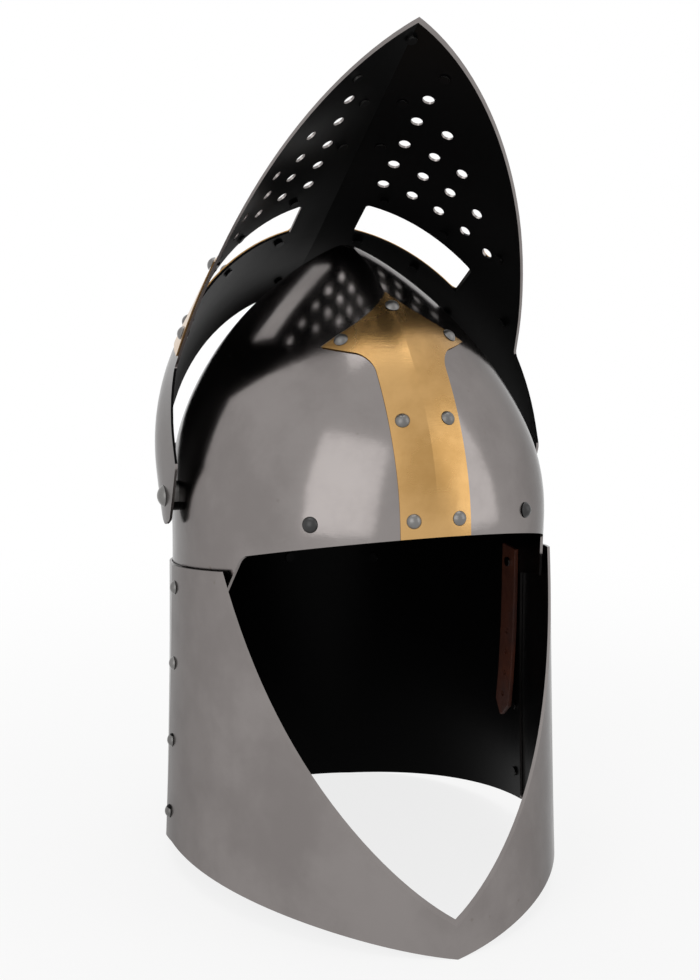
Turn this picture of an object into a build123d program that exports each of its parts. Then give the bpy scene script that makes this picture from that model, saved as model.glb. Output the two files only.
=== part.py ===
from build123d import *
from math import acos, cos, sin, sqrt, tan
import os

os.makedirs("parts", exist_ok=True)

# A great helm with a raised, pivoted visor. The frame stands on the floor under the middle of
# the helm: +X is the wearer's left, -Y is the face, +Z is up. Levels are measured from the brow
# edge, downwards negative, and depths along Y from the widest line of the helm.

# Sheet metal and fits
plate = 1.5
lap_gap = 0.4
brass = 0.8
brass_gap = 0.1
rivet_play = 0.1
head_gap = 0.2
tail_gap = 0.5
pivot_play = 0.08
overrun = 80.0

# Body below the brow: half width, reach to the face and reach to the nape
body_depth = 215.5
rim_drop = 15.0
brow_half_width = 113.0
rim_half_width = 118.8
waist = 4.8
brow_front = 134.3
rim_front = 172.4
brow_back = 152.5
rim_back = 124.5
brow_crease_share = 0.05
rim_crease_share = 0.30
nape_fullness_share = 0.604

# Skull
skull_rise = 145.4
apex_lean = 29.1
apex_crease_share = 0.26
brow_step = 3.2
brow_slope_share = 0.312
brow_corner_y = -66.5
brow_corner_radius = 12.0
skirt_front_y = -51.0
skirt_front_level = -50.0
skirt_back_level = -94.0
skirt_back_y = 139.0
side_curve_shares = (1.75, 0.81)
front_curve_shares = (1.89, 0.61)
back_curve_shares = (2.52, 0.77)
skull_steps = 10
skirt_steps = 6
seat_nudge_share = 0.01

# Openings and edges of the lower plates
face_vertex_level = -212.2
face_corner_y = -43.7
face_corner_level = -5.5
face_edge_shares = (0.34, 0.563)
top_edge_y = -54.8
top_edge_level = -31.2
top_edge_slope_share = 0.187
seam_y = 9.0
seam_lap = 16.0
chin_rim_shares = (0.55, 0.8, 0.2)
nape_flat_share = 0.93

# Visor, drawn shut
visor_side_gap = 1.8
visor_brow_gap = 4.6
visor_chin_gap = 5.2
visor_tip_level = -226.0
visor_notch_y = -46.0
visor_notch_level = -41.0
visor_edge_shares = (0.33, 0.60)
visor_brow_level = 49.0
visor_brow_end_y = -48.0
ear_level = -40.0
ear_bend_y = 14.0
ear_radius = 17.0
ear_corner_radius = 6.0
pivot_y = 22.4
pivot_level = -2.8
visor_turn = 116.2

# Eye slits and breath holes of the visor
slit_inner_x = 21.0
slit_outer_x = 84.0
slit_top_level = -22.0
slit_low_level = -52.5
slit_corner = 2.5
breath_diameter = 7.0
breath_columns = (24.4, 42.2, 58.2, 73.6, 85.9)
breath_rows = (-77.5, -99.0, -120.5, -144.0, -165.5)

# Brass cross
strip_half_width = 20.8
strip_flare_level = 94.0
strip_tip_x = 43.0
strip_tip_level = 96.0
strip_point_level = 124.5
strip_bow_shares = (0.7, 0.3)
strip_bow_rises = (9.7, 17.1)
strip_fillet = 9.0
upright_half_width = 18.8
cross_margin = 2.5
cross_foot_level = -170.0
cross_foot_x = 42.0
cross_foot_tip_level = -176.0
bar_top_level = -5.0
bar_low_level = -69.0
bar_neck_y = -96.0
bar_top_tip = (-84.0, 13.0)
bar_low_tip = (-92.0, -96.0)
bar_point = (-52.0, -45.0)
bar_fillet = 10.0

# Rivets
head_radius = 4.2
head_rise = 2.6
shank_radius = 2.0
tail_radius = 3.0
tail_rise = 1.0
ridge_depth = 1.2
pivot_head_radius = 6.5
pivot_head_rise = 3.6
pivot_shank_radius = 3.5
spacer_radius = 9.0
pivot_washer_radius = 8.0
pivot_washer = 1.2
liner_head_radius = 4.6
liner_head_rise = 3.0

seam_rivet_levels = (-56.5, -104.0, -153.0, -199.0)
nape_rivet_turn_shares = (0.36, 0.68, 1.0)
nape_rivet_level = -79.0
strip_rivet_x = 13.5
strip_rivet_levels = (9.5, 62.0)
strip_flare_rivet = (33.0, 100.5)
strip_point_rivet_level = 118.0
upright_rivet_x = 12.5
upright_rivet_levels = (40.0, -112.0, -156.0)
foot_rivet = (27.0, -188.0)
foot_point_rivet_level = -210.0
bar_rivets = ((27.0, -12.5), (63.0, -12.5), (30.0, -61.0), (67.0, -61.0))
bar_end_rivets = ((-90.0, 3.0), (-95.0, -84.0), (-66.0, -46.0))
liner_rivet_x = 64.8
liner_rivet_level = 5.0
liner_back_turn_shares = (0.3, 0.65)

# Leather liner band
leather = 2.5
liner_front_level = 3.5
liner_low_level = -3.5
liner_top_level = 33.0
liner_pivot_clearance = 11.0

# Leather tongues over the crown, and the two halves of the chin strap
tongue = 2.0
tongue_count = 8
tongue_root_level = 24.0
tongue_tip_radius = 34.0
tongue_tip_width = 20.0
tongue_root_radius = 95.0
tongue_root_width = 66.0
strap_width = 18.0
strap_thickness = 2.5
strap_top = 10.0
strap_length = 112.0
strap_point = 9.0
strap_hole = 2.0
strap_hole_count = 4
strap_hole_step = 14.0

# The frame's middle lies halfway between chin and nape
brow_height = body_depth + rim_drop
chin_reach = brow_front + (rim_front - brow_front) * brow_height / body_depth
lap = plate + lap_gap
skull_back = brow_back - lap
axis_y = (chin_reach - skull_back) / 2
liner_gap = tail_gap + tail_rise + lap_gap
through_width = 2 * (max(brow_half_width, rim_half_width) + lap)

brow_plane = Plane(origin=(0, axis_y, brow_height))
side_view = Plane(origin=(0, axis_y, brow_height), x_dir=(0, 1, 0), z_dir=(1, 0, 0))
front_view = Plane(origin=(0, axis_y, brow_height), x_dir=(1, 0, 0), z_dir=(0, -1, 0))


def mix(first, last, share):
    return first + (last - first) * share


def dome(rise_share, powers):
    """How much of a reach is left at a share of the skull's rise."""
    return (1 - min(rise_share, 1) ** powers[0]) ** powers[1]


# A section's size is (half width, front reach, back reach, crease share, widest line's place).


def body_size(level):
    """Outside of the lower plates."""
    depth = -level / body_depth
    half = mix(brow_half_width, rim_half_width, depth) - waist * depth * (1 - depth)
    crease = mix(brow_crease_share, rim_crease_share, max(depth, 0) ** 2)
    front = mix(brow_front, rim_front, depth)
    return half, front, mix(brow_back, rim_back, depth), crease, 0


def back_plate_size(level):
    """The back plate goes inside the face plate at the sides and keeps the nape's line."""
    half, front, back, crease, widest = body_size(level)
    return half - lap, front, back, crease, widest


def domed(half, front, back, rise_share):
    """A brow outline carried up over the skull, where its middle leans to the apex."""
    front_y = apex_lean - (front + apex_lean) * dome(rise_share, front_curve_shares)
    back_y = apex_lean + (back - apex_lean) * dome(rise_share, back_curve_shares)
    widest = mix(front_y, back_y, front / (front + back))
    half = half * dome(rise_share, side_curve_shares)
    crease = mix(brow_crease_share, apex_crease_share, rise_share)
    return half, widest - front_y, back_y - widest, crease, widest


def skull_size(level):
    """Outside of the skull, whose skirt lies inside both lower plates."""
    front = brow_front - brow_step
    if level > 0:
        return domed(brow_half_width - 2 * lap, front, skull_back, level / skull_rise)
    half, _, back, _, widest = body_size(level)
    return half - 2 * lap, front, back - lap, brow_crease_share, widest


def visor_size(level):
    """Outside of the shut visor."""
    side = visor_side_gap + plate
    if level > 0:
        front = brow_front - brow_step + visor_brow_gap + plate
        return domed(brow_half_width + side, front, skull_back, level / skull_rise)
    depth = -level / body_depth
    half, front, back, crease, widest = body_size(level)
    step = mix(visor_brow_gap - brow_step, visor_chin_gap, depth) + plate
    return half + side, front + step, back, crease, widest


def grown(size, by):
    """The same outline moved out square to its sloping wall, or in where by is negative."""
    def moved(level):
        half, front, back, crease, widest = size(level)
        low_half, low_front, low_back, _, low_widest = size(level - plate)
        side = sqrt(1 + ((half - low_half) / plate) ** 2)
        face = sqrt(1 + ((front - widest - low_front + low_widest) / plate) ** 2)
        nape = sqrt(1 + ((back + widest - low_back - low_widest) / plate) ** 2)
        front_y = widest - front - by * face
        back_y = widest + back + by * nape
        return half + by * side, widest - front_y, back_y - widest, crease, widest
    return moved


def front_points(half, front, back, crease, widest):
    """From the ridge to the widest line: an ellipse centred past the middle, so that two meet
    in a crease."""
    centre = crease * half
    sweep = acos(centre / (half + centre))
    long_reach = front / sin(sweep)
    grip = 4 / 3 * tan(sweep / 4)
    near_ridge_x = grip * (half + centre) * sin(sweep)
    near_ridge_y = widest - front + grip * long_reach * cos(sweep)
    near_side_y = widest - grip * long_reach
    return (0, widest - front), (near_ridge_x, near_ridge_y), (half, near_side_y), (half, widest)


def back_points(half, front, back, crease, widest):
    """From the widest line to the nape, a little fuller than an ellipse."""
    full = nape_fullness_share
    return (half, widest), (half, widest + full * back), (full * half, widest + back), (0, widest + back)


def helm_section(size):
    """A closed outline round the head."""
    with BuildLine() as outline:
        Bezier(*front_points(*size))
        Bezier(*back_points(*size))
        mirror(about=Plane.YZ)
    make_face(outline.edges())


def visor_section(size):
    """The face and straight ears behind the widest line."""
    half, widest = size[0], size[4]
    with BuildLine() as outline:
        Bezier(*front_points(*size))
        Line((half, widest), (half, overrun))
        Line((half, overrun), (0, overrun))
        mirror(about=Plane.YZ)
    make_face(outline.edges())


def stack(levels, size, section=helm_section, mode=Mode.ADD):
    """Loft one skin through its sections, which lie evenly or close up steadily."""
    layers = []
    for level in levels:
        with BuildSketch(brow_plane.offset(level)) as layer:
            section(size(level))
        layers.append(layer.sketch)
    loft(sections=layers, mode=mode)


def wall(levels, size, thickness, section=helm_section):
    """Sheet between a skin and the same skin drawn in."""
    stack(levels, size, section)
    stack(levels, grown(size, -thickness), section, Mode.SUBTRACT)


def crown(size, mode=Mode.ADD):
    """The skull's skin as far up as it has room; it starts well below the edge of its skirt."""
    levels = [-skirt_step * step for step in range(skirt_steps, 0, -1)] + dome_levels
    stack([level for level in levels if min(size(level)[:3]) > 0], size, mode=mode)


def on_curve(points, share):
    """A place on a four-point curve."""
    left = 1 - share
    weights = (left ** 3, 3 * left ** 2 * share, 3 * left * share ** 2, share ** 3)
    return [sum(w * p[axis] for w, p in zip(weights, points)) for axis in (0, 1)]


def outline_place(size, level, turn):
    """A place on the outline: turn runs from -1 at the ridge through 0 at the side to 1 at the nape."""
    if turn < 0:
        return on_curve(front_points(*size(level)), 1 + turn)
    return on_curve(back_points(*size(level)), turn)


def seat(size, level, turn, side=1):
    """The plane that lies on the outside of a skin, looking outwards."""
    nudge = seat_nudge_share * (1.1 - abs(turn))
    before = outline_place(size, level, max(turn - nudge, -1))
    after = outline_place(size, level, min(turn + nudge, 1))
    above = outline_place(size, level + plate, turn)
    place = outline_place(size, level, turn)
    along = Vector(after[0] - before[0], after[1] - before[1], 0)
    if abs(turn) == 1:
        along = Vector(-turn, 0, 0)
    up = Vector(above[0] - place[0], above[1] - place[1], plate)
    out = along.cross(up)
    origin = (side * place[0], axis_y + place[1], brow_height + level)
    return Plane(origin=origin, z_dir=(side * out.X, out.Y, out.Z))


def turn_at(size, level, axis, value, low, high):
    """The turn where the outline's x (axis 0) or y (axis 1) has a value."""
    rising = outline_place(size, level, high)[axis] > outline_place(size, level, low)[axis]
    for _ in range(40):
        middle = (low + high) / 2
        below = outline_place(size, level, middle)[axis] < value
        if below == rising:
            low = middle
        else:
            high = middle
    return low


def face_seat(size, x, level):
    """A place on the face, found by its distance from the ridge."""
    if x == 0:
        return seat(size, level, -1)
    turn = turn_at(size, level, 0, abs(x), -1, 0)
    return seat(size, level, turn, 1 if x > 0 else -1)


def side_seat(size, y, level, side):
    """A place on the side, found by its depth along the helm."""
    return seat(size, level, turn_at(size, level, 1, y, -1, 1), side)


def places(seats):
    return [Location(plane) for plane in seats]


# Rivet seats, used by the rivets and by the holes that they fill
seam_seats = {
    side: [side_seat(body_size, seam_y, level, side) for level in seam_rivet_levels]
    for side in (-1, 1)
}
nape_seats = [
    seat(back_plate_size, nape_rivet_level, turn, side)
    for turn in nape_rivet_turn_shares
    for side in (-1, 1)
    if turn < 1 or side > 0
]
strip_size = grown(skull_size, brass_gap + brass)
strip_seats = [
    face_seat(strip_size, side * strip_rivet_x, level)
    for level in strip_rivet_levels
    for side in (-1, 1)
]
strip_seats += [face_seat(strip_size, side * strip_flare_rivet[0], strip_flare_rivet[1]) for side in (-1, 1)]
strip_seats.append(face_seat(strip_size, 0, strip_point_rivet_level))
cross_size = grown(visor_size, brass_gap + brass)
cross_seats = [
    face_seat(cross_size, side * upright_rivet_x, level)
    for level in upright_rivet_levels
    for side in (-1, 1)
]
cross_seats += [
    face_seat(cross_size, side * x, level) for x, level in bar_rivets + (foot_rivet,) for side in (-1, 1)
]
cross_seats += [side_seat(cross_size, y, level, side) for y, level in bar_end_rivets for side in (-1, 1)]
cross_seats.append(face_seat(cross_size, 0, foot_point_rivet_level))
liner_seats = [face_seat(skull_size, side * liner_rivet_x, liner_rivet_level) for side in (-1, 1)]
liner_seats += [
    seat(skull_size, (liner_low_level + liner_top_level) / 2, turn, side)
    for turn in liner_back_turn_shares
    for side in (-1, 1)
]


def rivet(grip, head=head_radius, rise=head_rise, shank=shank_radius, tail=tail_radius):
    """A domed rivet: its head lies just over the plane, its closed tail just under the grip."""
    dome_radius = (head ** 2 + rise ** 2) / (2 * rise)
    base = head_gap
    top = head_gap + rise
    low = -grip - tail_gap
    with BuildPart() as one:
        with BuildSketch(Plane.XZ):
            with BuildLine():
                RadiusArc((0, top), (head, base), dome_radius)
                Polyline((head, base), (shank, base), (shank, low), (tail, low))
                Polyline((tail, low), (tail, low - tail_rise), (0, low - tail_rise), (0, top))
            make_face()
        revolve(axis=Axis.Z)
    return one.part


def settle(part, seats):
    """The same seats moved along their own directions onto the real skin of a piece."""
    settled = []
    for plane in seats:
        hits = [
            hit
            for face in part.faces()
            for hit, _ in face.find_intersection_points(Axis(plane.origin, plane.z_dir))
        ]
        near = [hit for hit in hits if (hit - plane.origin).length < head_radius]
        outermost = max(near, key=lambda hit: hit.dot(plane.z_dir))
        settled.append(Plane(origin=outermost, z_dir=plane.z_dir))
    return settled


def drill(seats, radius):
    """Holes through every sheet under the seats."""
    with Locations(*places(seats)):
        Cylinder(radius, overrun / 4, mode=Mode.SUBTRACT)


def rivet_group(name, seats, one):
    """Separate rivets of one kind in one node."""
    with BuildPart() as group:
        with Locations(*places(seats)):
            add(one)
    save(group, name)


def save(builder, name):
    builder.part.label = name
    export_step(builder.part, f"parts/{name}.step")
    print(name, len(builder.part.solids()), round(builder.part.volume))


def top_edge(y):
    """Upper edge of the lower plates, which falls to the nape."""
    return top_edge_level - (y - top_edge_y) * top_edge_slope_share


def skirt_edge(y):
    """Lower edge of the skull inside the plates."""
    slope = (skirt_back_level - skirt_front_level) / (skirt_back_y - skirt_front_y)
    return skirt_front_level + slope * (y - skirt_front_y)


def edge_curve(start, end, shares):
    """A gently bowed edge whose depth is even and whose level follows two shares."""
    first = (mix(start[0], end[0], 1 / 3), mix(start[1], end[1], shares[0]))
    second = (mix(start[0], end[0], 2 / 3), mix(start[1], end[1], shares[1]))
    Bezier(start, first, second, end)


def side_cut():
    """Keep what lies inside the outline drawn in side view."""
    extrude(amount=2 * rim_half_width, both=True, mode=Mode.INTERSECT)


body_levels = [(-brow_height - plate) * step / 3 for step in range(3, -1, -1)]
skirt_step = skull_rise * (1 - (1 - 1 / skull_steps) ** 2)
dome_levels = [skull_rise * (1 - (1 - step / skull_steps) ** 2) for step in range(skull_steps)]
visor_levels = [(visor_tip_level - lap) * step / 8 for step in range(8, -1, -1)]
visor_levels += [(visor_brow_level + lap) * step / 2 for step in (1, 2)]
pivot_seats = [
    Plane(origin=(0, axis_y + pivot_y, brow_height + pivot_level), z_dir=(side, 0, 0)) for side in (-1, 1)
]

# Skull
with BuildPart() as skull:
    crown(skull_size)
    crown(grown(skull_size, -plate), Mode.SUBTRACT)
    brow_front_y = -(brow_front - brow_step)
    brow_end_level = -(brow_corner_y - brow_front_y) * brow_slope_share
    with BuildSketch(side_view):
        with BuildLine():
            FilletPolyline(
                (brow_front_y - overrun, overrun * brow_slope_share),
                (brow_corner_y, brow_end_level),
                (skirt_front_y, skirt_front_level),
                radius=brow_corner_radius,
            )
            Polyline(
                (skirt_front_y, skirt_front_level),
                (brow_back, skirt_edge(brow_back)),
                (brow_back, skull_rise + lap),
                (brow_front_y - overrun, skull_rise + lap),
                (brow_front_y - overrun, overrun * brow_slope_share),
            )
        make_face()
    side_cut()
    drill(seam_seats[-1][:1] + seam_seats[1][:1] + nape_seats, shank_radius + rivet_play)
    drill(strip_seats + liner_seats, shank_radius + rivet_play)
    with Locations(*places(pivot_seats)):
        Cylinder(pivot_shank_radius + pivot_play, through_width, mode=Mode.SUBTRACT)
save(skull, "skull")

# Face plate: the V-shaped front below the face opening
vertex = (-body_size(face_vertex_level)[1], face_vertex_level)
chin = (-chin_reach, -brow_height)
face_rear_y = seam_y + seam_lap / 2
back_front_y = seam_y - seam_lap / 2


def nape_rim(y):
    """Level of the rim on the nape's half, a straight fall to a short flat."""
    return -body_depth - rim_drop * min(y / (rim_back * nape_flat_share), 1)


with BuildPart() as face_plate:
    wall(body_levels, body_size, plate)
    with BuildSketch(side_view):
        with BuildLine():
            edge_curve(vertex, (face_corner_y, face_corner_level), face_edge_shares)
            Polyline(
                (face_corner_y, face_corner_level),
                (face_rear_y, face_corner_level),
                (face_rear_y, nape_rim(face_rear_y)),
                (0, -body_depth),
            )
            Bezier(
                (0, -body_depth),
                (chin[0] * chin_rim_shares[0], -body_depth),
                (chin[0] * chin_rim_shares[1], -body_depth - rim_drop * chin_rim_shares[2]),
                chin,
            )
            Polyline(chin, (chin[0] - overrun, chin[1]), (chin[0] - overrun, vertex[1]), vertex)
        make_face()
    side_cut()
    with BuildSketch(side_view):
        with BuildLine():
            Polyline(
                (chin[0] - overrun, top_edge(chin[0] - overrun)),
                (overrun, top_edge(overrun)),
                (overrun, -body_depth - overrun),
                (chin[0] - overrun, -body_depth - overrun),
                close=True,
            )
        make_face()
    side_cut()
    drill(seam_seats[-1] + seam_seats[1], shank_radius + rivet_play)
save(face_plate, "face_plate")

# Back plate
with BuildPart() as back_plate:
    wall(body_levels, back_plate_size, plate)
    nape_flat_y = rim_back * nape_flat_share
    with BuildSketch(side_view):
        with BuildLine():
            Polyline(
                (back_front_y, top_edge(back_front_y)),
                (brow_back + lap, top_edge(brow_back + lap)),
                (brow_back + lap, -brow_height),
                (nape_flat_y, -brow_height),
                (0, -body_depth),
                (back_front_y, -body_depth),
                close=True,
            )
        make_face()
    side_cut()
    drill(seam_seats[-1] + seam_seats[1] + nape_seats, shank_radius + rivet_play)
save(back_plate, "back_plate")

# Visor, drawn shut and then raised about its pivots
tip = (-visor_size(visor_tip_level)[1], visor_tip_level)
notch = (visor_notch_y, visor_notch_level)
ear_back_y = pivot_y + ear_radius
ear_x = visor_size(pivot_level)[0]


def raise_visor(builder, name):
    """Turn a piece of the shut visor up to its resting place and keep it."""
    axis = Axis((0, axis_y + pivot_y, brow_height + pivot_level), (1, 0, 0))
    builder.part = builder.part.rotate(axis, -visor_turn)
    save(builder, name)


with BuildPart() as visor_plate:
    wall(visor_levels, visor_size, plate, visor_section)
    with BuildSketch(side_view):
        with BuildLine():
            edge_curve(tip, notch, visor_edge_shares)
            Polyline(notch, (ear_bend_y, ear_level), (ear_back_y, pivot_level - ear_radius / 2))
            Line((ear_back_y, pivot_level - ear_radius / 2), (ear_back_y, pivot_level))
            RadiusArc((ear_back_y, pivot_level), (pivot_y, pivot_level + ear_radius), -ear_radius)
            Line((pivot_y, pivot_level + ear_radius), (visor_brow_end_y, visor_brow_level))
            Polyline(
                (visor_brow_end_y, visor_brow_level),
                (tip[0] - overrun, visor_brow_level),
                (tip[0] - overrun, tip[1]),
                tip,
            )
        make_face()
        corners = vertices().filter_by_position(Axis.X, visor_notch_y - lap, ear_back_y + lap)
        low_corners = corners.filter_by_position(Axis.Y, ear_level - lap, pivot_level - lap)
        fillet(low_corners, ear_corner_radius)
        fillet(vertices().group_by(Axis.Y)[-1].sort_by(Axis.X)[-1], ear_radius)
    side_cut()
    for side in (-1, 1):
        with BuildSketch(front_view):
            with Locations(((slit_inner_x + slit_outer_x) / 2 * side, (slit_top_level + slit_low_level) / 2)):
                RectangleRounded(slit_outer_x - slit_inner_x, slit_top_level - slit_low_level, slit_corner)
        extrude(amount=-tip[0] + overrun, mode=Mode.SUBTRACT)
    breath_seats = [
        face_seat(visor_size, side * x, level)
        for side in (-1, 1)
        for column, x in enumerate(breath_columns)
        for level in breath_rows[:len(breath_rows) - column]
    ]
    drill(breath_seats, breath_diameter / 2)
    drill(cross_seats, shank_radius + rivet_play)
    with Locations(*places(pivot_seats)):
        Cylinder(pivot_shank_radius + pivot_play, 2 * (ear_x + lap), mode=Mode.SUBTRACT)
raise_visor(visor_plate, "visor_plate")

# Brass strip on the skull, the cross's top arm
with BuildPart() as skull_strip:
    crown(strip_size)
    crown(grown(skull_size, brass_gap), Mode.SUBTRACT)
    with BuildSketch(front_view):
        with BuildLine():
            FilletPolyline(
                (strip_half_width, -overrun),
                (strip_half_width, strip_flare_level),
                (strip_tip_x, strip_tip_level),
                radius=strip_fillet,
            )
            Bezier(
                (strip_tip_x, strip_tip_level),
                (strip_tip_x * strip_bow_shares[0], strip_tip_level + strip_bow_rises[0]),
                (strip_tip_x * strip_bow_shares[1], strip_tip_level + strip_bow_rises[1]),
                (0, strip_point_level),
            )
            Line((strip_half_width, -overrun), (0, -overrun))
            mirror(about=Plane.YZ)
        make_face()
    extrude(amount=brow_front + overrun, mode=Mode.INTERSECT)
    with BuildSketch(side_view):
        with BuildLine():
            Polyline(
                (brow_front_y - overrun, overrun * brow_slope_share),
                (0, brow_front_y * brow_slope_share),
                (0, skull_rise),
                (brow_front_y - overrun, skull_rise),
                close=True,
            )
        make_face()
    side_cut()
    strip_seats = settle(skull_strip.part, strip_seats)
    drill(strip_seats, shank_radius + rivet_play)
save(skull_strip, "skull_cross_strip")

# Brass cross on the visor: an upright on the ridge and a bar round the slits
with BuildPart() as visor_cross:
    stack(visor_levels, cross_size, visor_section)
    stack(visor_levels, grown(visor_size, brass_gap), visor_section, Mode.SUBTRACT)
    with BuildSketch(side_view):
        with BuildLine():
            edge_curve(
                (tip[0], tip[1] + cross_margin * 2),
                (notch[0] - cross_margin, notch[1]),
                visor_edge_shares,
            )
            Polyline(
                (notch[0] - cross_margin, notch[1]),
                (notch[0] - cross_margin, visor_brow_level - cross_margin),
                (tip[0] - overrun, visor_brow_level - cross_margin),
                (tip[0] - overrun, tip[1] + cross_margin * 2),
                (tip[0], tip[1] + cross_margin * 2),
            )
        make_face()
    side_cut()
    with BuildSketch(side_view):
        with BuildLine():
            FilletPolyline(
                (tip[0] - overrun, bar_top_level),
                (bar_neck_y, bar_top_level),
                bar_top_tip,
                radius=bar_fillet,
            )
            Polyline(bar_top_tip, bar_point, bar_low_tip)
            FilletPolyline(
                bar_low_tip,
                (bar_neck_y - bar_fillet, bar_low_level),
                (tip[0] - overrun, bar_low_level),
                radius=bar_fillet,
            )
            Line((tip[0] - overrun, bar_low_level), (tip[0] - overrun, bar_top_level))
        make_face()
    bar_tool = extrude(amount=2 * rim_half_width, both=True, mode=Mode.PRIVATE)
    with BuildSketch(front_view):
        with BuildLine():
            Polyline(
                (0, visor_brow_level + lap),
                (upright_half_width, visor_brow_level + lap),
                (upright_half_width, cross_foot_level),
                (cross_foot_x, cross_foot_tip_level),
                (cross_foot_x, tip[1] - lap),
                (0, tip[1] - lap),
            )
            mirror(about=Plane.YZ)
        make_face()
    upright_tool = extrude(amount=-tip[0] + overrun, mode=Mode.PRIVATE)
    add(bar_tool + upright_tool, mode=Mode.INTERSECT)
    for side in (-1, 1):
        with BuildSketch(front_view):
            with Locations(((slit_inner_x + slit_outer_x) / 2 * side, (slit_top_level + slit_low_level) / 2)):
                RectangleRounded(
                    slit_outer_x - slit_inner_x + 2 * brass,
                    slit_top_level - slit_low_level + 2 * brass,
                    slit_corner + brass,
                )
        extrude(amount=-tip[0] + overrun, mode=Mode.SUBTRACT)
    cross_seats = settle(visor_cross.part, cross_seats)
    drill(breath_seats, breath_diameter / 2 + brass)
    drill(cross_seats, shank_radius + rivet_play)
raise_visor(visor_cross, "visor_cross")

# Rivets: the top one on each side seam also holds the skull and the chin strap
seam_grip = plate + lap
short_rivet = rivet(seam_grip)
strap_face = seam_grip + lap + lap_gap
long_rivet = rivet(strap_face + strap_thickness)
for side, name in ((-1, "right"), (1, "left")):
    with BuildPart() as seam_rivets:
        with Locations(*places(seam_seats[side][1:])):
            add(short_rivet)
        with Locations(*places(seam_seats[side][:1])):
            add(long_rivet)
    save(seam_rivets, f"side_seam_rivets_{name}")
rivet_group("nape_rivets", nape_seats, rivet(seam_grip + lap_gap))
brass_grip = brass + brass_gap + plate
brass_rivet = rivet(brass_grip)
ridge_rivet = rivet(brass_grip + ridge_depth)
with BuildPart() as strip_rivets:
    with Locations(*places(strip_seats[:-1])):
        add(brass_rivet)
    with Locations(*places(strip_seats[-1:])):
        add(ridge_rivet)
save(strip_rivets, "skull_cross_rivets")
liner_rivet = rivet(plate + liner_gap + leather, liner_head_radius, liner_head_rise)
rivet_group("liner_rivets", liner_seats, liner_rivet)
with BuildPart() as visor_cross_rivets:
    with Locations(*places(cross_seats[:-1])):
        add(brass_rivet)
    with Locations(*places(cross_seats[-1:])):
        add(ridge_rivet)
raise_visor(visor_cross_rivets, "visor_cross_rivets")

# Pivots: a big rivet through ear, spacer, skull and inner washer
skull_skin_x = outline_place(skull_size, pivot_level, turn_at(skull_size, pivot_level, 1, pivot_y, 0, 1))[0]
washer_reach = plate + pivot_washer + lap_gap
washer_face_x = outline_place(
    grown(skull_size, -washer_reach),
    pivot_level,
    turn_at(grown(skull_size, -washer_reach), pivot_level, 1, pivot_y + pivot_washer_radius, 0, 1),
)[0]
spacer_face_x = visor_size(pivot_level + spacer_radius)[0] - plate - lap_gap
head_face_x = ear_x + lap_gap - head_gap
pivot_rivet = rivet(
    head_face_x - washer_face_x,
    pivot_head_radius,
    pivot_head_rise,
    pivot_shank_radius,
    pivot_head_radius - rivet_play,
)


def across(side, x):
    """The plane square to the pivots' line at a distance from the middle."""
    origin = (side * x, axis_y + pivot_y, brow_height + pivot_level)
    return Plane(origin=origin, z_dir=(side, 0, 0))


for side, name in ((-1, "right"), (1, "left")):
    rivet_group(f"pivot_rivet_{name}", [across(side, head_face_x)], pivot_rivet)
    with BuildPart() as spacer:
        with BuildSketch(across(side, skull_skin_x - spacer_radius)):
            Circle(spacer_radius)
            Circle(pivot_shank_radius + rivet_play, mode=Mode.SUBTRACT)
        extrude(amount=spacer_face_x - skull_skin_x + spacer_radius)
        crown(skull_size, Mode.SUBTRACT)
    save(spacer, f"pivot_spacer_{name}")
    with BuildPart() as washer:
        with BuildSketch(across(side, washer_face_x)):
            Circle(pivot_washer_radius)
            Circle(pivot_shank_radius + rivet_play, mode=Mode.SUBTRACT)
        extrude(amount=spacer_radius)
        crown(grown(skull_size, -plate), Mode.INTERSECT)
    save(washer, f"pivot_washer_{name}")

# Leather band of the liner, held by rivets through the skull
with BuildPart() as liner_band:
    crown(grown(skull_size, -plate - liner_gap))
    crown(grown(skull_size, -plate - liner_gap - leather), Mode.SUBTRACT)
    slope_y = brow_front_y + (liner_front_level - liner_low_level) / brow_slope_share
    with BuildSketch(side_view):
        with BuildLine():
            Polyline(
                (brow_front_y, liner_front_level),
                (slope_y, liner_low_level),
                (brow_back, liner_low_level),
                (brow_back, liner_top_level),
                (brow_front_y, liner_top_level),
                close=True,
            )
        make_face()
    side_cut()
    with Locations(*places(pivot_seats)):
        Cylinder(liner_pivot_clearance, through_width, mode=Mode.SUBTRACT)
    drill(liner_seats, shank_radius + rivet_play)
save(liner_band, "liner_band")

# Leather tongues that carry the head, sewn to the inside of the band
tongue_reach = plate + liner_gap + leather + lap_gap
with BuildPart() as liner_tongues:
    stack(dome_levels[:-2], grown(skull_size, -tongue_reach))
    stack(dome_levels[:-2], grown(skull_size, -tongue_reach - tongue), mode=Mode.SUBTRACT)
    with BuildSketch(brow_plane.offset(tongue_root_level)):
        with Locations((0, apex_lean)):
            with PolarLocations(0, tongue_count, start_angle=180 / tongue_count):
                Polygon(
                    (tongue_tip_radius, tongue_tip_width / 2),
                    (tongue_root_radius, tongue_root_width / 2),
                    (body_depth, tongue_root_width / 2),
                    (body_depth, -tongue_root_width / 2),
                    (tongue_root_radius, -tongue_root_width / 2),
                    (tongue_tip_radius, -tongue_tip_width / 2),
                    align=None,
                )
    extrude(amount=skull_rise, mode=Mode.INTERSECT)
save(liner_tongues, "liner_tongues")

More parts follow.
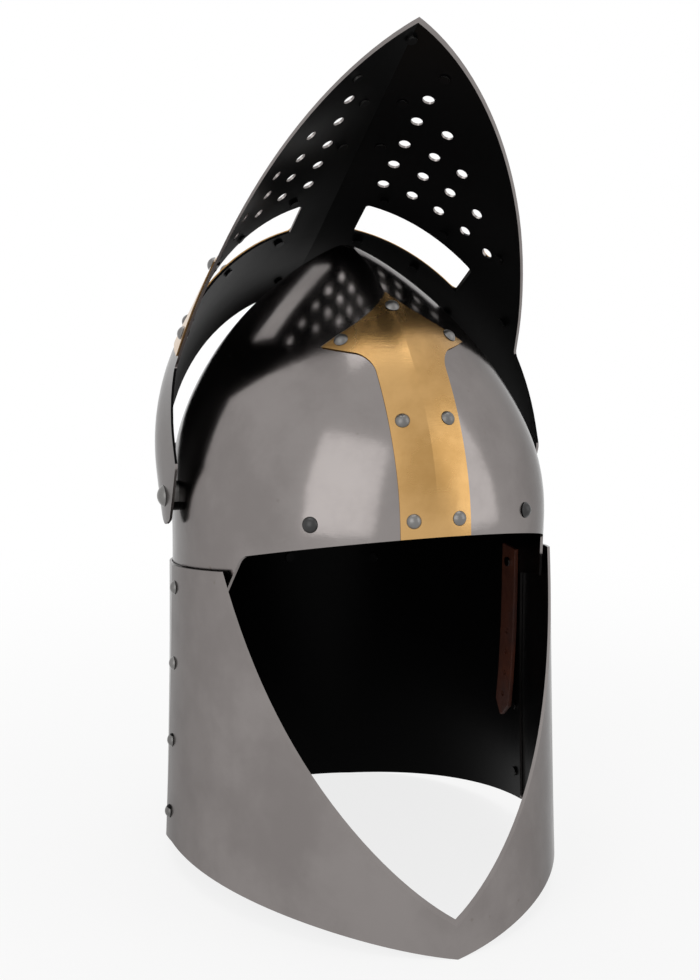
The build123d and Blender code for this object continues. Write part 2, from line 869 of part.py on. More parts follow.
# Chin strap halves, each hung inside from the top rivet of a side seam
for side, name in ((-1, "right"), (1, "left")):
    rivet_seat = seam_seats[side][0]
    hang = Plane(origin=rivet_seat.origin, x_dir=(0, side, 0), z_dir=rivet_seat.z_dir).offset(-strap_face)
    low = strap_top - strap_length
    with BuildPart() as strap:
        with BuildSketch(hang):
            with BuildLine():
                Polyline(
                    (-strap_width / 2, strap_top),
                    (strap_width / 2, strap_top),
                    (strap_width / 2, low + strap_point),
                    (0, low),
                    (-strap_width / 2, low + strap_point),
                    close=True,
                )
            make_face()
            with Locations((0, 0)):
                Circle(shank_radius + rivet_play, mode=Mode.SUBTRACT)
            hole_levels = [low + strap_hole_step * step for step in range(1, strap_hole_count + 1)]
            with Locations(*[(0, level) for level in hole_levels]):
                Circle(strap_hole, mode=Mode.SUBTRACT)
        extrude(amount=-strap_thickness)
    save(strap, f"chin_strap_{name}")
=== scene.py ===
# %% [markdown]
# # A great helm with its visor raised
# The plates, rivets and brass of this helm were built as exact solids. Here they are loaded as a
# fixed frame, and Blender gives them what the solids can't have: polished and worn metal, black
# paint inside, waxed leather, soft studio light and the camera. Every length is in metres, and the
# helm stands on the floor at z = 0 with its face towards -Y.

# %% Load the helm
from math import acos, cos, radians, sin, sqrt

import bpy
from mathutils import Matrix, Vector


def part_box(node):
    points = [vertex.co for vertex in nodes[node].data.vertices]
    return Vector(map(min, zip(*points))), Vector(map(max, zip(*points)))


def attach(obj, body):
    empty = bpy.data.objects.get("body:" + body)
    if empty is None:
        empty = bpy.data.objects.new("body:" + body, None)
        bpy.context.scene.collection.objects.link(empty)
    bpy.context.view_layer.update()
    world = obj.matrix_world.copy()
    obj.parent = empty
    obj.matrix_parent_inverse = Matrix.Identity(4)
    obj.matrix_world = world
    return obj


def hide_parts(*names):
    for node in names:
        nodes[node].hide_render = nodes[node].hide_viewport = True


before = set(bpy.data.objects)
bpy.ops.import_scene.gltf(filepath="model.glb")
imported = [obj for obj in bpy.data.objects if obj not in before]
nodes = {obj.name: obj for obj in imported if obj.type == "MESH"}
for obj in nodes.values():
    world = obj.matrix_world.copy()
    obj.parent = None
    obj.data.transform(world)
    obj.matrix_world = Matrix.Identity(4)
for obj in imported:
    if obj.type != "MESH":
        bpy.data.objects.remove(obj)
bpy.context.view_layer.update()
print("pieces loaded:", len(nodes))

# %% [markdown]
# ## The camera
# A long lens keeps the helm's proportions calm: 101 mm on a sensor 36 mm wide. The camera stands
# a little to the wearer's right and above the helm, and looks down by about 13 degrees. Its
# matrix is built from three directions, right, up and backwards, because a camera in Blender
# looks along its own -Z.

# %% Camera
camera_place = Vector((-0.3926, -1.0921, 0.4915))
camera_yaw = radians(19.32)
camera_pitch = radians(12.63)
camera_roll = radians(-0.70)
camera_lens = 101.2
camera_sensor = 36.0

ahead = Vector((
    sin(camera_yaw) * cos(camera_pitch),
    cos(camera_yaw) * cos(camera_pitch),
    -sin(camera_pitch),
))
level_right = Vector((cos(camera_yaw), -sin(camera_yaw), 0))
level_down = ahead.cross(level_right)
right = cos(camera_roll) * level_right + sin(camera_roll) * level_down
down = -sin(camera_roll) * level_right + cos(camera_roll) * level_down

camera_data = bpy.data.cameras.new("helm_camera")
camera_data.sensor_fit = "HORIZONTAL"
camera_data.sensor_width = camera_sensor
camera_data.lens = camera_lens
camera = bpy.data.objects.new("helm_camera", camera_data)
bpy.context.scene.collection.objects.link(camera)
turned = Matrix((right, -down, -ahead)).transposed().to_4x4()
camera.matrix_world = Matrix.Translation(camera_place) @ turned
bpy.context.scene.camera = camera
bpy.context.scene.view_settings.view_transform = "Standard"
print("camera at", [round(v, 3) for v in camera_place])

# %% [markdown]
# ## Shader nodes in short
# Every surface below is a small tree of shader nodes. These helpers make a node and fill its
# inputs, either with a value or with a link from another node, so that each tree can be read as a
# list of steps.

# %% Helpers for shader nodes


def feed(tree, socket, source):
    """Fill an input with an output of another node or with a value."""
    if isinstance(source, bpy.types.NodeSocket):
        tree.links.new(source, socket)
    else:
        socket.default_value = source


def add_node(tree, kind, inputs=(), **settings):
    """A node with its settings; inputs are (name or number, value or output of another node)."""
    node = tree.nodes.new("ShaderNode" + kind)
    for key, value in settings.items():
        setattr(node, key, value)
    for target, source in inputs:
        feed(tree, node.inputs[target], source)
    return node


def blend_colour(tree, share, first, second):
    """One colour mixed into another; returns the output."""
    return add_node(tree, "Mix", [(0, share), (6, first), (7, second)], data_type="RGBA").outputs[2]


def blend_value(tree, share, first, second):
    """One number mixed into another; returns the output."""
    return add_node(tree, "Mix", [(0, share), (2, first), (3, second)], data_type="FLOAT").outputs[0]


def new_group(name, inputs, outputs):
    """A shader node group; inputs are (name, kind, value) and outputs are (name, kind)."""
    group = bpy.data.node_groups.new(name, "ShaderNodeTree")
    for title, kind, value in inputs:
        socket = group.interface.new_socket(title, in_out="INPUT", socket_type=f"NodeSocket{kind}")
        socket.default_value = value
    for title, kind in outputs:
        group.interface.new_socket(title, in_out="OUTPUT", socket_type=f"NodeSocket{kind}")
    return group, group.nodes.new("NodeGroupInput"), group.nodes.new("NodeGroupOutput")


def place_group(tree, group, values):
    """A node group inside a material, with its inputs set."""
    node = tree.nodes.new("ShaderNodeGroup")
    node.node_tree = group
    for title, value in values.items():
        node.inputs[title].default_value = value
    return node


def new_material(name):
    """A material that holds one Principled shader."""
    material = bpy.data.materials.new(name)
    material.use_nodes = True
    tree = material.node_tree
    tree.nodes.clear()
    shader = add_node(tree, "BsdfPrincipled")
    add_node(tree, "OutputMaterial", [("Surface", shader.outputs["BSDF"])])
    return material, tree, shader


print("node helpers ready")

# %% [markdown]
# ## The studio
# The helm stands on a plain white floor in front of nothing but white. A white world would also
# light the helm from all sides and flatten it, so the world is white only where the camera or a
# reflection looks at it, and grey as a light. The floor works the same way: most of it is a plain
# white to the camera and to reflections, and the rest is a real matt surface, which keeps a pale
# shadow. Away from the helm that share grows to all of it, so that no line shows where it ends.

# %% World and floor
white_colour = (1.0, 1.0, 1.0, 1.0)
world_light = 0.45
floor_colour = (0.9, 0.9, 0.9, 1.0)
floor_size = 12
white_share_near = 0.82
near_radius, far_radius = 0.2, 0.8


def seen_or_mirrored(tree):
    """1 for rays from the camera, from a reflection or through glass, and 0 for other light."""
    rays = add_node(tree, "LightPath").outputs
    mirrored = add_node(
        tree, "Math", [(0, rays["Is Glossy Ray"]), (1, rays["Is Transmission Ray"])],
        operation="MAXIMUM",
    )
    shown = add_node(
        tree, "Math", [(0, rays["Is Camera Ray"]), (1, mirrored.outputs[0])],
        operation="MAXIMUM",
    )
    return shown.outputs[0]


world = bpy.data.worlds.new("studio")
bpy.context.scene.world = world
world.use_nodes = True
tree = world.node_tree
tree.nodes.clear()
level = add_node(
    tree, "MapRange", [("Value", seen_or_mirrored(tree)), ("To Min", world_light), ("To Max", 1.0)]
)
sky = add_node(tree, "Background", [("Color", white_colour), ("Strength", level.outputs["Result"])])
add_node(tree, "OutputWorld", [("Surface", sky.outputs["Background"])])

floor_material = bpy.data.materials.new("studio_floor")
floor_material.use_nodes = True
tree = floor_material.node_tree
tree.nodes.clear()
place = add_node(tree, "TexCoord")
distance = add_node(tree, "VectorMath", [(0, place.outputs["Object"])], operation="LENGTH")
whiter = add_node(
    tree, "MapRange",
    [
        ("Value", distance.outputs["Value"]),
        ("From Min", near_radius),
        ("From Max", far_radius),
        ("To Min", white_share_near),
        ("To Max", 1.0),
    ],
    interpolation_type="SMOOTHSTEP",
)
share = add_node(
    tree, "Math", [(0, seen_or_mirrored(tree)), (1, whiter.outputs["Result"])],
    operation="MULTIPLY",
)
matt = add_node(tree, "BsdfDiffuse", [("Color", floor_colour)])
white = add_node(tree, "Emission", [("Color", white_colour)])
both = add_node(
    tree, "MixShader",
    [("Fac", share.outputs[0]), (1, matt.outputs["BSDF"]), (2, white.outputs["Emission"])],
)
add_node(tree, "OutputMaterial", [("Surface", both.outputs["Shader"])])

bpy.ops.object.select_all(action="DESELECT")
bpy.ops.mesh.primitive_plane_add(size=floor_size, location=(0, 0, 0))
floor = bpy.context.object
floor.name = "studio_floor"
floor.data.materials.append(floor_material)
print("world light:", world_light, "floor size:", floor_size)

# %% [markdown]
# Polished steel shows its lamps as clear shapes, so each lamp is large and stands well away. The
# key light is three lamps of shrinking size in one place: its mirror image on the helm is then
# brightest in the middle and fades towards its edge.

# %% Lamps
helm_middle = (0, 0, 0.25)
key_lamp_place = (-1.7, -1.6, 0.9)
key_lamp_sizes = ((1.9, 2.8), (1.2, 2.2), (0.6, 1.6))
key_lamp_powers = (15, 9, 4)


def soft_lamp(name, place, width, height, power):
    """A rectangular lamp that looks at the middle of the helm."""
    lamp = bpy.data.lights.new(name, "AREA")
    lamp.shape = "RECTANGLE"
    lamp.size = width
    lamp.size_y = height
    lamp.energy = power
    holder = bpy.data.objects.new(name, lamp)
    holder.location = place
    gaze = Vector(helm_middle) - Vector(place)
    holder.rotation_euler = gaze.to_track_quat("-Z", "Y").to_euler()
    bpy.context.scene.collection.objects.link(holder)
    print(name, "watts:", power)


for number, ((width, height), power) in enumerate(zip(key_lamp_sizes, key_lamp_powers), start=1):
    soft_lamp(f"key_lamp_{number}", key_lamp_place, width, height, power)
soft_lamp("fill_lamp", (1.9, -1.2, 0.8), 1.4, 2.4, 9)
soft_lamp("top_lamp", (0.1, 0.6, 2.2), 1.8, 1.8, 16)

# %% [markdown]
# ## Node groups
# More than one metal here has the same kinds of marks, so each kind is a small node group that
# gives out a mask, a value or a normal.
#
# **Inside or outside?** A plate is one closed sheet, polished outside and painted black inside.
# The outside is where the surface faces away from the middle of the helm. So the mask compares
# the surface's direction with the direction from a middle point. Both are read in the piece's own
# coordinates, so the paint stays in place when the visor turns. The sheet's thin edges face
# sideways and stay bare.

# %% Group: painted inside
painted_inside, group_in, group_out = new_group(
    "painted_inside",
    [("Middle", "Vector", (0.0, 0.0, 0.0)), ("Edge", "Float", -0.35)],
    [("Mask", "Float")],
)
place = add_node(painted_inside, "TexCoord")
arm = add_node(
    painted_inside, "VectorMath",
    [(0, place.outputs["Object"]), (1, group_in.outputs["Middle"])],
    operation="SUBTRACT",
)
direction = add_node(painted_inside, "VectorMath", [(0, arm.outputs[0])], operation="NORMALIZE")
facing = add_node(
    painted_inside, "VectorMath",
    [(0, direction.outputs[0]), (1, place.outputs["Normal"])],
    operation="DOT_PRODUCT",
)
inward = add_node(
    painted_inside, "Math",
    [(0, facing.outputs["Value"]), (1, group_in.outputs["Edge"])],
    operation="LESS_THAN",
)
feed(painted_inside, group_out.inputs["Mask"], inward.outputs[0])
print(painted_inside.name, "nodes:", len(painted_inside.nodes))

# %% [markdown]
# **Polish marks.** Hand-polished sheet isn't a perfect mirror. It has a slow waviness from the
# hammer, very fine lines from the polishing wheel, duller clouds where fingers and cloths have
# been, and a few small stains. Noise at four sizes gives all of them.

# %% Group: polish marks
polish_marks, group_in, group_out = new_group(
    "polish_marks",
    [
        ("Wave", "Float", 0.25),
        ("Lines", "Float", 0.04),
        ("Smooth", "Float", 0.2),
        ("Dull", "Float", 0.34),
    ],
    [("Roughness", "Float"), ("Cloud", "Float"), ("Stain", "Float"), ("Normal", "Vector")],
)
place = add_node(polish_marks, "TexCoord").outputs["Object"]
cloud = add_node(
    polish_marks, "TexNoise",
    [("Vector", place), ("Scale", 16.0), ("Detail", 5.0), ("Roughness", 0.6)],
)
cloud_ramp = add_node(
    polish_marks, "MapRange",
    [("Value", cloud.outputs["Fac"]), ("From Min", 0.36), ("From Max", 0.68)],
    clamp=True, interpolation_type="SMOOTHSTEP",
)
stretched = add_node(
    polish_marks, "Mapping",
    [("Vector", place), ("Scale", (9.0, 9.0, 260.0)), ("Rotation", (0.5, 0.12, 0.0))],
)
lines = add_node(
    polish_marks, "TexNoise",
    [("Vector", stretched.outputs["Vector"]), ("Scale", 7.0), ("Detail", 4.0), ("Roughness", 0.7)],
)
specks = add_node(
    polish_marks, "TexNoise",
    [("Vector", place), ("Scale", 140.0), ("Detail", 3.0), ("Roughness", 0.5)],
)
stain = add_node(
    polish_marks, "MapRange",
    [("Value", specks.outputs["Fac"]), ("From Min", 0.70), ("From Max", 0.82)],
    clamp=True, interpolation_type="SMOOTHSTEP",
)
stain_in_cloud = add_node(
    polish_marks, "Math",
    [(0, stain.outputs["Result"]), (1, cloud_ramp.outputs["Result"])],
    operation="MULTIPLY",
)
waves = add_node(
    polish_marks, "TexNoise",
    [("Vector", place), ("Scale", 26.0), ("Detail", 1.0), ("Roughness", 0.4)],
)
wave_bump = add_node(
    polish_marks, "Bump",
    [("Height", waves.outputs["Fac"]), ("Distance", 0.0009), ("Strength", group_in.outputs["Wave"])],
)
line_bump = add_node(
    polish_marks, "Bump",
    [
        ("Height", lines.outputs["Fac"]),
        ("Distance", 0.0002),
        ("Strength", group_in.outputs["Lines"]),
        ("Normal", wave_bump.outputs["Normal"]),
    ],
)
dullness = blend_value(
    polish_marks, lines.outputs["Fac"], cloud_ramp.outputs["Result"], cloud.outputs["Fac"]
)
rough = blend_value(polish_marks, dullness, group_in.outputs["Smooth"], group_in.outputs["Dull"])
feed(polish_marks, group_out.inputs["Roughness"], rough)
feed(polish_marks, group_out.inputs["Cloud"], cloud_ramp.outputs["Result"])
feed(polish_marks, group_out.inputs["Stain"], stain_in_cloud.outputs[0])
feed(polish_marks, group_out.inputs["Normal"], line_bump.outputs["Normal"])
print(polish_marks.name, "nodes:", len(polish_marks.nodes))

# %% [markdown]
# ## The plates
# The same recipe serves the skull, the two lower plates and the visor: satin steel, a little
# darker in the clouds, brown in the stains, and smooth black paint inside. Only the middle point
# of the mask changes from piece to piece.

# %% Plate steel
steel_colour = (0.255, 0.234, 0.227, 1.0)
steel_cloud_colour = (0.213, 0.194, 0.188, 1.0)
steel_stain_colour = (0.15, 0.125, 0.105, 1.0)
steel_rim_tint = (0.55, 0.55, 0.55, 1.0)
paint_colour = (0.002, 0.002, 0.0021, 1.0)
paint_gloss = 0.06
paint_roughness = 0.36
head_middle = (0.0, 0.02, 0.20)
neck_middle = (0.0, 0.0, 0.12)
visor_middle = (0.0, -0.02, 0.36)


def plate_steel(name, middle):
    """Satin steel outside and black paint where a surface faces the middle point."""
    material, tree, shader = new_material(name)
    marks = place_group(
        tree, polish_marks, {"Wave": 0.14, "Lines": 0.07, "Smooth": 0.12, "Dull": 0.22}
    ).outputs
    mask = place_group(tree, painted_inside, {"Middle": middle}).outputs["Mask"]
    metal = blend_colour(tree, marks["Cloud"], steel_colour, steel_cloud_colour)
    stained = blend_colour(tree, marks["Stain"], metal, steel_stain_colour)
    rough = blend_value(tree, mask, marks["Roughness"], paint_roughness)
    feed(tree, shader.inputs["Base Color"], blend_colour(tree, mask, stained, paint_colour))
    feed(tree, shader.inputs["Metallic"], blend_value(tree, mask, 1.0, 0.0))
    feed(tree, shader.inputs["Roughness"], rough)
    feed(tree, shader.inputs["Normal"], marks["Normal"])
    shader.inputs["Specular IOR Level"].default_value = paint_gloss
    shader.inputs["Specular Tint"].default_value = steel_rim_tint
    return material


def dress(names, material):
    """Give frame nodes a material."""
    for name in names:
        piece = nodes[name]
        piece.data.materials.clear()
        piece.data.materials.append(material)
        print(name, "->", material.name)


dress(["skull"], plate_steel("skull_steel", head_middle))
dress(["face_plate", "back_plate"], plate_steel("lower_steel", neck_middle))
dress(["visor_plate"], plate_steel("visor_steel", visor_middle))

# %% [markdown]
# ## Brass
# Brass sheet is a warm yellow metal, a little browner where it has tarnished. It is softer than
# steel, so its polishing lines are stronger.

# %% Brass
brass_colour = (0.55, 0.335, 0.135, 1.0)
brass_tarnish_colour = (0.40, 0.23, 0.08, 1.0)


def cross_brass(name):
    """Polished brass with tarnished clouds."""
    material, tree, shader = new_material(name)
    marks = place_group(
        tree, polish_marks, {"Wave": 0.40, "Lines": 0.22, "Smooth": 0.18, "Dull": 0.32}
    ).outputs
    metal = blend_colour(tree, marks["Cloud"], brass_colour, brass_tarnish_colour)
    feed(tree, shader.inputs["Base Color"], metal)
    feed(tree, shader.inputs["Roughness"], marks["Roughness"])
    feed(tree, shader.inputs["Normal"], marks["Normal"])
    shader.inputs["Metallic"].default_value = 1.0
    return material


dress(["skull_cross_strip", "visor_cross"], cross_brass("cross_brass"))

# %% [markdown]
# ## Rivets
# Rivet heads are darker and duller than the plates, because no wheel reaches round them. Their
# ends inside the helm are painted with the plates.

# %% Rivets
rivet_colour = (0.20, 0.195, 0.19, 1.0)
dark_rivet_colour = (0.055, 0.055, 0.055, 1.0)
rivet_paint_edge = -0.1
worn_share = 0.7


def rivet_metal(name, colour, smooth, dull, middle):
    """Dull steel outside and black paint where a rivet faces the middle point."""
    material, tree, shader = new_material(name)
    marks = place_group(
        tree, polish_marks, {"Wave": 0.6, "Lines": 0.2, "Smooth": smooth, "Dull": dull}
    ).outputs
    inside = place_group(tree, painted_inside, {"Middle": middle, "Edge": rivet_paint_edge})
    mask = inside.outputs["Mask"]
    worn_colour = [channel * worn_share for channel in colour[:3]] + [1.0]
    worn = blend_colour(tree, marks["Cloud"], colour, worn_colour)
    feed(tree, shader.inputs["Base Color"], blend_colour(tree, mask, worn, paint_colour))
    feed(tree, shader.inputs["Metallic"], blend_value(tree, mask, 1.0, 0.0))
    feed(tree, shader.inputs["Roughness"], marks["Roughness"])
    feed(tree, shader.inputs["Normal"], marks["Normal"])
    shader.inputs["Specular IOR Level"].default_value = paint_gloss
    return material


rivet_steel = rivet_metal("rivet_steel", rivet_colour, 0.26, 0.42, head_middle)
visor_rivet_steel = rivet_metal("visor_rivet_steel", rivet_colour, 0.26, 0.42, visor_middle)
dark_rivet = rivet_metal("dark_rivet", dark_rivet_colour, 0.30, 0.5, head_middle)
paired_pieces = ("side_seam_rivets", "pivot_rivet", "pivot_washer", "pivot_spacer")
dress(["skull_cross_rivets", "nape_rivets"], rivet_steel)
dress([f"{name}_{side}" for name in paired_pieces for side in ("right", "left")], rivet_steel)
dress(["visor_cross_rivets"], visor_rivet_steel)
dress(["liner_rivets"], dark_rivet)

# %% [markdown]
# ## Leather
# The head never touches the steel. It is carried by a leather band riveted inside the brow, with
# eight tongues sewn to it that lead up under the crown, and a strap hangs at each side. Waxed
# leather is red-brown and mottled, with a fine pebbled grain and soft creases. Cells give the
# grain and noise gives the rest, all in the piece's own coordinates.

# %% Leather and thread
leather_grain, group_in, group_out = new_group(
    "leather_grain",
    [("Grain", "Float", 0.4), ("Creases", "Float", 0.5)],
    [("Mottle", "Float"), ("Normal", "Vector")],
)
place = add_node(leather_grain, "TexCoord").outputs["Object"]
mottle = add_node(
    leather_grain, "TexNoise",
    [("Vector", place), ("Scale", 38.0), ("Detail", 4.0), ("Roughness", 0.6)],
)
creases = add_node(
    leather_grain, "TexNoise",
    [("Vector", place), ("Scale", 120.0), ("Detail", 6.0), ("Roughness", 0.65)],
)
pores = add_node(
    leather_grain, "TexVoronoi", [("Vector", place), ("Scale", 900.0)],
    feature="DISTANCE_TO_EDGE",
)
crease_bump = add_node(
    leather_grain, "Bump",
    [
        ("Height", creases.outputs["Fac"]),
        ("Distance", 0.0008),
        ("Strength", group_in.outputs["Creases"]),
    ],
)
pore_bump = add_node(
    leather_grain, "Bump",
    [
        ("Height", pores.outputs["Distance"]),
        ("Distance", 0.0005),
        ("Strength", group_in.outputs["Grain"]),
        ("Normal", crease_bump.outputs["Normal"]),
    ],
)
feed(leather_grain, group_out.inputs["Mottle"], mottle.outputs["Fac"])
feed(leather_grain, group_out.inputs["Normal"], pore_bump.outputs["Normal"])


def waxed_leather(name, colour, dark, smooth, dull):
    """Mottled leather; colours are red, green and blue."""
    material, tree, shader = new_material(name)
    grain = place_group(tree, leather_grain, {"Grain": 0.35, "Creases": 0.45}).outputs
    spread = add_node(
        tree, "MapRange", [("Value", grain["Mottle"]), ("From Min", 0.32), ("From Max", 0.68)]
    ).outputs["Result"]
    mottled = blend_colour(tree, spread, (*colour, 1.0), (*dark, 1.0))
    feed(tree, shader.inputs["Base Color"], mottled)
    feed(tree, shader.inputs["Roughness"], blend_value(tree, spread, smooth, dull))
    feed(tree, shader.inputs["Normal"], grain["Normal"])
    print("material:", name)
    return material


band_leather = waxed_leather(
    "band_leather", (0.11, 0.042, 0.021), (0.05, 0.019, 0.010), 0.42, 0.6
)
tongue_leather = waxed_leather(
    "tongue_leather", (0.22, 0.105, 0.052), (0.12, 0.052, 0.026), 0.5, 0.68
)
# The strap halves' leather is darkened to nearly black-brown, darker than the band. This is painted
# shade for the dim inside of the helm where they hang.
strap_leather_painted_shade = waxed_leather(
    "strap_leather_painted_shade", (0.085, 0.024, 0.012), (0.035, 0.010, 0.006), 0.42, 0.6
)
waxed_thread = waxed_leather(
    "waxed_thread", (0.46, 0.37, 0.24), (0.30, 0.23, 0.14), 0.6, 0.75
)

# %% [markdown]
# ### Tools for the modelled pieces
# Each piece below starts as a primitive, is shaped in edit mode or laid on a surface, gets its
# thickness, and ends at the origin with its place in its mesh. These helpers do the steps that
# come again and again. Everything is deselected first, because the frame's pieces are selected.

# %% Helpers for modelled pieces
sharp_edge = radians(50)
smooth_angle = radians(40)


def only(piece):
    """Make one object the selected and active one."""
    bpy.ops.object.select_all(action="DESELECT")
    piece.select_set(True)
    bpy.context.view_layer.objects.active = piece


def settle(piece):
    """Put a piece's place, turn and scale into its mesh."""
    only(piece)
    bpy.ops.object.transform_apply(location=True, rotation=True, scale=True)


def finish_with(piece, kind, **settings):
    """Add a modifier and apply it."""
    only(piece)
    modifier = piece.modifiers.new(kind.lower(), kind)
    for key, value in settings.items():
        setattr(modifier, key, value)
    bpy.ops.object.modifier_apply(modifier=modifier.name)


def round_edges(piece, width, segments):
    """Round the edges that are sharper than the limit."""
    finish_with(
        piece, "BEVEL", width=width, segments=segments, limit_method="ANGLE", angle_limit=sharp_edge
    )


def lay_on(piece, target):
    """Move every vertex to the nearest point of another surface."""
    finish_with(piece, "SHRINKWRAP", target=target, wrap_method="NEAREST_SURFACEPOINT")


def in_edit_mode(piece, step):
    """Run one edit-mode step, a function without arguments, on the whole piece."""
    only(piece)
    bpy.ops.object.mode_set(mode="EDIT")
    bpy.ops.mesh.select_all(action="SELECT")
    step()
    bpy.ops.object.mode_set(mode="OBJECT")


def new_grid(name, columns, rows):
    """A flat grid two units wide and deep, to be shaped vertex by vertex."""
    bpy.ops.object.select_all(action="DESELECT")
    bpy.ops.mesh.primitive_grid_add(x_subdivisions=columns, y_subdivisions=rows, size=2)
    piece = bpy.context.object
    piece.name = name
    return piece


def new_cylinder(**settings):
    """A cylinder made with everything else deselected."""
    bpy.ops.object.select_all(action="DESELECT")
    bpy.ops.mesh.primitive_cylinder_add(**settings)
    return bpy.context.object


def merged_copy(name, copy_name):
    """A frame piece's mesh as a new object with its loose triangles merged."""
    piece = bpy.data.objects.new(copy_name, nodes[name].data.copy())
    bpy.context.scene.collection.objects.link(piece)
    in_edit_mode(piece, lambda: bpy.ops.mesh.remove_doubles(threshold=0.00001))
    return piece


def cut_away(piece, cutter):
    """Take a closed cutter out of a piece and drop the cutter."""
    finish_with(piece, "BOOLEAN", operation="DIFFERENCE", object=cutter, solver="MANIFOLD")
    bpy.data.objects.remove(cutter)


def hand_over(piece, material, slot, *replaced):
    """Dress a finished piece, let it ride on the helm and stand for its frame nodes."""
    only(piece)
    bpy.ops.object.shade_smooth_by_angle(angle=smooth_angle)
    piece.data.materials.clear()
    piece.data.materials.append(material)
    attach(piece, "helm")
    if replaced:
        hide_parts(*replaced)
    print(piece.name, "faces:", len(piece.data.polygons))


print("modelling helpers ready")

# %% [markdown]
# ### The band
# A strip of thick leather runs round the head inside the brow. It starts as an open ring that is
# a little too wide. A convex hull of the frame's band closes its holes and notches, and the ring
# shrinks onto that hull, so that it gets the helm's true outline. Then it gets its thickness and
# rounded edges, and is cut: slanting at the brow, round at the two pivots, and at its rivets.

# %% Liner band
band_thickness = 0.0025
band_sides = 60
band_cuts = 5
band_edge = 0.0007
band_spare = 0.012
band_slant_foot = Vector((0, -0.0965, 0.2275))
band_slant = Vector((0, -7.0, -22.4)).normalized()
pivot_place = Vector((0, 0.03458, 0.2277))
pivot_notch = 0.011
rivet_play = 0.0001

band_low, band_high = (Vector(corner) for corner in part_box("liner_band"))
band_span = band_high - band_low
hull = merged_copy("liner_band", "band_hull")
in_edit_mode(hull, bpy.ops.mesh.convex_hull)
band = new_cylinder(
    vertices=band_sides, radius=0.5, depth=1.0, end_fill_type="NOTHING",
    location=(band_low + band_high) / 2,
)
band.name = "leather_band"
bpy.ops.transform.resize(value=(band_span.x + band_spare, band_span.y + band_spare, band_span.z))
settle(band)
in_edit_mode(band, lambda: bpy.ops.mesh.subdivide(number_cuts=band_cuts))
lay_on(band, hull)
bpy.data.objects.remove(hull)
in_edit_mode(
    band,
    lambda: bpy.ops.mesh.bisect(plane_co=band_slant_foot, plane_no=band_slant, clear_outer=True),
)
finish_with(band, "SOLIDIFY", thickness=band_thickness, offset=-1.0)
round_edges(band, band_edge, 3)
notch_cutter = new_cylinder(
    vertices=64, radius=pivot_notch, depth=0.3, location=pivot_place, rotation=(0, radians(90), 0)
)
cut_away(band, notch_cutter)
rivet_cutter = merged_copy("liner_rivets", "rivet_cutter")
finish_with(rivet_cutter, "DISPLACE", strength=rivet_play, mid_level=0.0)
cut_away(band, rivet_cutter)
hand_over(band, band_leather, "leather", "liner_band")

# %% [markdown]
# ### The tongues
# Each tongue starts as a flat grid. Its rows are set along an arc from the band up to the crown,
# wide at the root and narrow at the rounded tip. Then it is laid on the frame's tongue, smoothed,
# and gets its thickness and rounded edges.

# %% Liner tongues
tongue_count = 8
tongue_columns, tongue_rows = 18, 60
tongue_thickness = 0.002
tongue_edge = 0.0005
crown = Vector((0, 0.0413, 0.2545))
crown_rise = 0.114
crown_side, crown_front, crown_back = 0.101, 0.152, 0.112
root_reach, root_half = 0.095, 0.0325
tip_reach, tip_half = 0.040, 0.0095
tip_start, tip_end = 0.9, 0.3
seam_rows = (2, 5)


def crown_reach(outwards):
    """How far the crown's inside stands from its axis in one level direction."""
    depth = crown_back if outwards.y > 0 else crown_front
    return 1 / sqrt((outwards.x / crown_side) ** 2 + (outwards.y / depth) ** 2)


def tongue_half(distance, along):
    """A tongue's half width at a distance from the crown's axis, rounded off at its tip."""
    widening = min(max((distance - tip_reach) / (root_reach - tip_reach), 0), 1)
    half = tip_half + (root_half - tip_half) * widening
    if along > tip_start:
        past_start = (along - tip_start) / (1 - tip_start)
        half *= tip_end + (1 - tip_end) * sqrt(max(1 - past_start ** 2, 0))
    return half


row_length = tongue_columns + 1
stitch_seats = []
for number in range(tongue_count):
    turn = radians(360 / tongue_count * (number + 0.5))
    outwards = Vector((cos(turn), sin(turn), 0))
    sideways = Vector((-sin(turn), cos(turn), 0))
    reach = crown_reach(outwards)
    rise_turn = acos(tip_reach / reach)
    tongue = new_grid(f"leather_tongue_{number + 1}", tongue_columns, tongue_rows)
    for vertex in tongue.data.vertices:
        across, along = vertex.co.x, (vertex.co.y + 1) / 2
        height = crown_rise * sin(along * rise_turn)
        distance = reach * cos(along * rise_turn)
        place = crown + outwards * distance + sideways * across * tongue_half(distance, along)
        vertex.co = place + Vector((0, 0, height))
    lay_on(tongue, nodes["liner_tongues"])
    in_edit_mode(tongue, lambda: bpy.ops.mesh.vertices_smooth(factor=0.5, repeat=2))
    middle = tongue.data.vertices[len(tongue.data.vertices) // 2]
    inward = 1 if middle.normal.dot(crown - middle.co) > 0 else -1
    for row in seam_rows:
        seam = tongue.data.vertices[row * row_length + 1:(row + 1) * row_length - 1]
        stitch_seats += [(vertex.co.copy(), vertex.normal * inward, sideways) for vertex in seam]
    finish_with(tongue, "SOLIDIFY", thickness=tongue_thickness, offset=-inward)
    round_edges(tongue, tongue_edge, 2)
    hand_over(tongue, tongue_leather, "leather", *(["liner_tongues"] if number == 0 else []))

# %% [markdown]
# The tongues are sewn to the band with two rows of waxed thread. One stitch is a small rounded
# bead, and copies of it lie along the rows, joined into one piece.

# %% Stitches
stitch_length, stitch_thickness = 0.0032, 0.00045

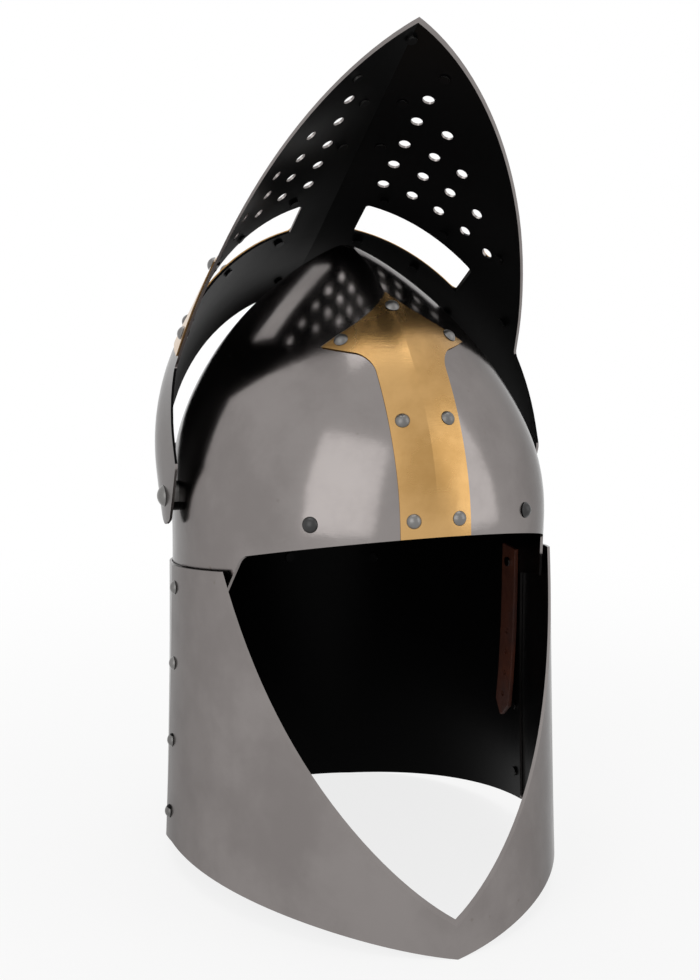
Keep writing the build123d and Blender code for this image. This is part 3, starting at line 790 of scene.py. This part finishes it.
bpy.ops.object.select_all(action="DESELECT")
bpy.ops.mesh.primitive_uv_sphere_add(segments=8, ring_count=6, radius=1)
bead = bpy.context.object
bpy.ops.transform.resize(value=(stitch_length / 2, stitch_thickness, stitch_thickness))
settle(bead)
beads = []
for place, normal, sideways in stitch_seats:
    along = (sideways - normal * sideways.dot(normal)).normalized()
    turned = Matrix((along, normal.cross(along), normal)).transposed().to_4x4()
    stitch = bpy.data.objects.new("stitch", bead.data.copy())
    bpy.context.scene.collection.objects.link(stitch)
    stitch.matrix_world = Matrix.Translation(place) @ turned
    beads.append(stitch)
bpy.data.objects.remove(bead)
bpy.context.view_layer.update()
bpy.ops.object.select_all(action="DESELECT")
for stitch in beads:
    stitch.select_set(True)
bpy.context.view_layer.objects.active = beads[0]
bpy.ops.object.join()
stitches = bpy.context.object
stitches.name = "liner_stitches"
settle(stitches)
hand_over(stitches, waxed_thread, "leather")
print("stitches:", len(stitch_seats))

# %% [markdown]
# ### The strap halves
# Each half of the chin strap hangs from the top rivet of a side seam. It is a flat strip with a
# pointed end and four buckle holes. Old leather never hangs quite straight, so its lower end
# curls away from the wall by a few millimetres.

# %% Chin strap halves
strap_half_width = 0.009
strap_thickness = 0.0025
strap_edge = 0.0007
strap_point, strap_tip = 0.009, 0.08
strap_curl = 0.004
strap_columns, strap_rows = 10, 70
strap_hole = 0.002
strap_hole_step = 0.014
strap_holes = 4
strap_rivet_drop = 0.010
below = Vector((0, 0, -1))


def strap_half(side, name):
    """Build one half in the plane of its frame solid; side is -1 for the wearer's right."""
    low, high = (Vector(corner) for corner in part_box(name))
    widest = max(nodes[name].data.polygons, key=lambda face: face.area).normal
    inwards = (widest if widest.x * side < 0 else -widest).normalized()
    down = (below - inwards * below.dot(inwards)).normalized()
    across = inwards.cross(down)
    length = (high.z - low.z - strap_thickness * abs(inwards.z)) / abs(down.z)
    top = (low + high) / 2 - down * length / 2
    strap = new_grid("leather_" + name, strap_columns, strap_rows)
    for vertex in strap.data.vertices:
        along = (vertex.co.y + 1) / 2 * length
        half = strap_half_width * min((length - along) / strap_point + strap_tip, 1)
        lift = strap_curl * (along / length) ** 3
        vertex.co = top + down * along + across * vertex.co.x * half + inwards * lift
    in_edit_mode(strap, lambda: bpy.ops.mesh.normals_make_consistent(inside=False))
    finish_with(strap, "SOLIDIFY", thickness=strap_thickness, offset=0.0)
    round_edges(strap, strap_edge, 3)
    holes = [(strap_rivet_drop, strap_hole + rivet_play)]
    holes += [(length - strap_hole_step * step, strap_hole) for step in range(1, strap_holes + 1)]
    facing = inwards.to_track_quat("Z", "Y").to_euler()
    for drop, radius in holes:
        cutter = new_cylinder(
            vertices=24, radius=radius, depth=0.03, location=top + down * drop, rotation=facing
        )
        cut_away(strap, cutter)
    hand_over(strap, strap_leather_painted_shade, "leather", name)


strap_half(-1, "chin_strap_right")
strap_half(1, "chin_strap_left")
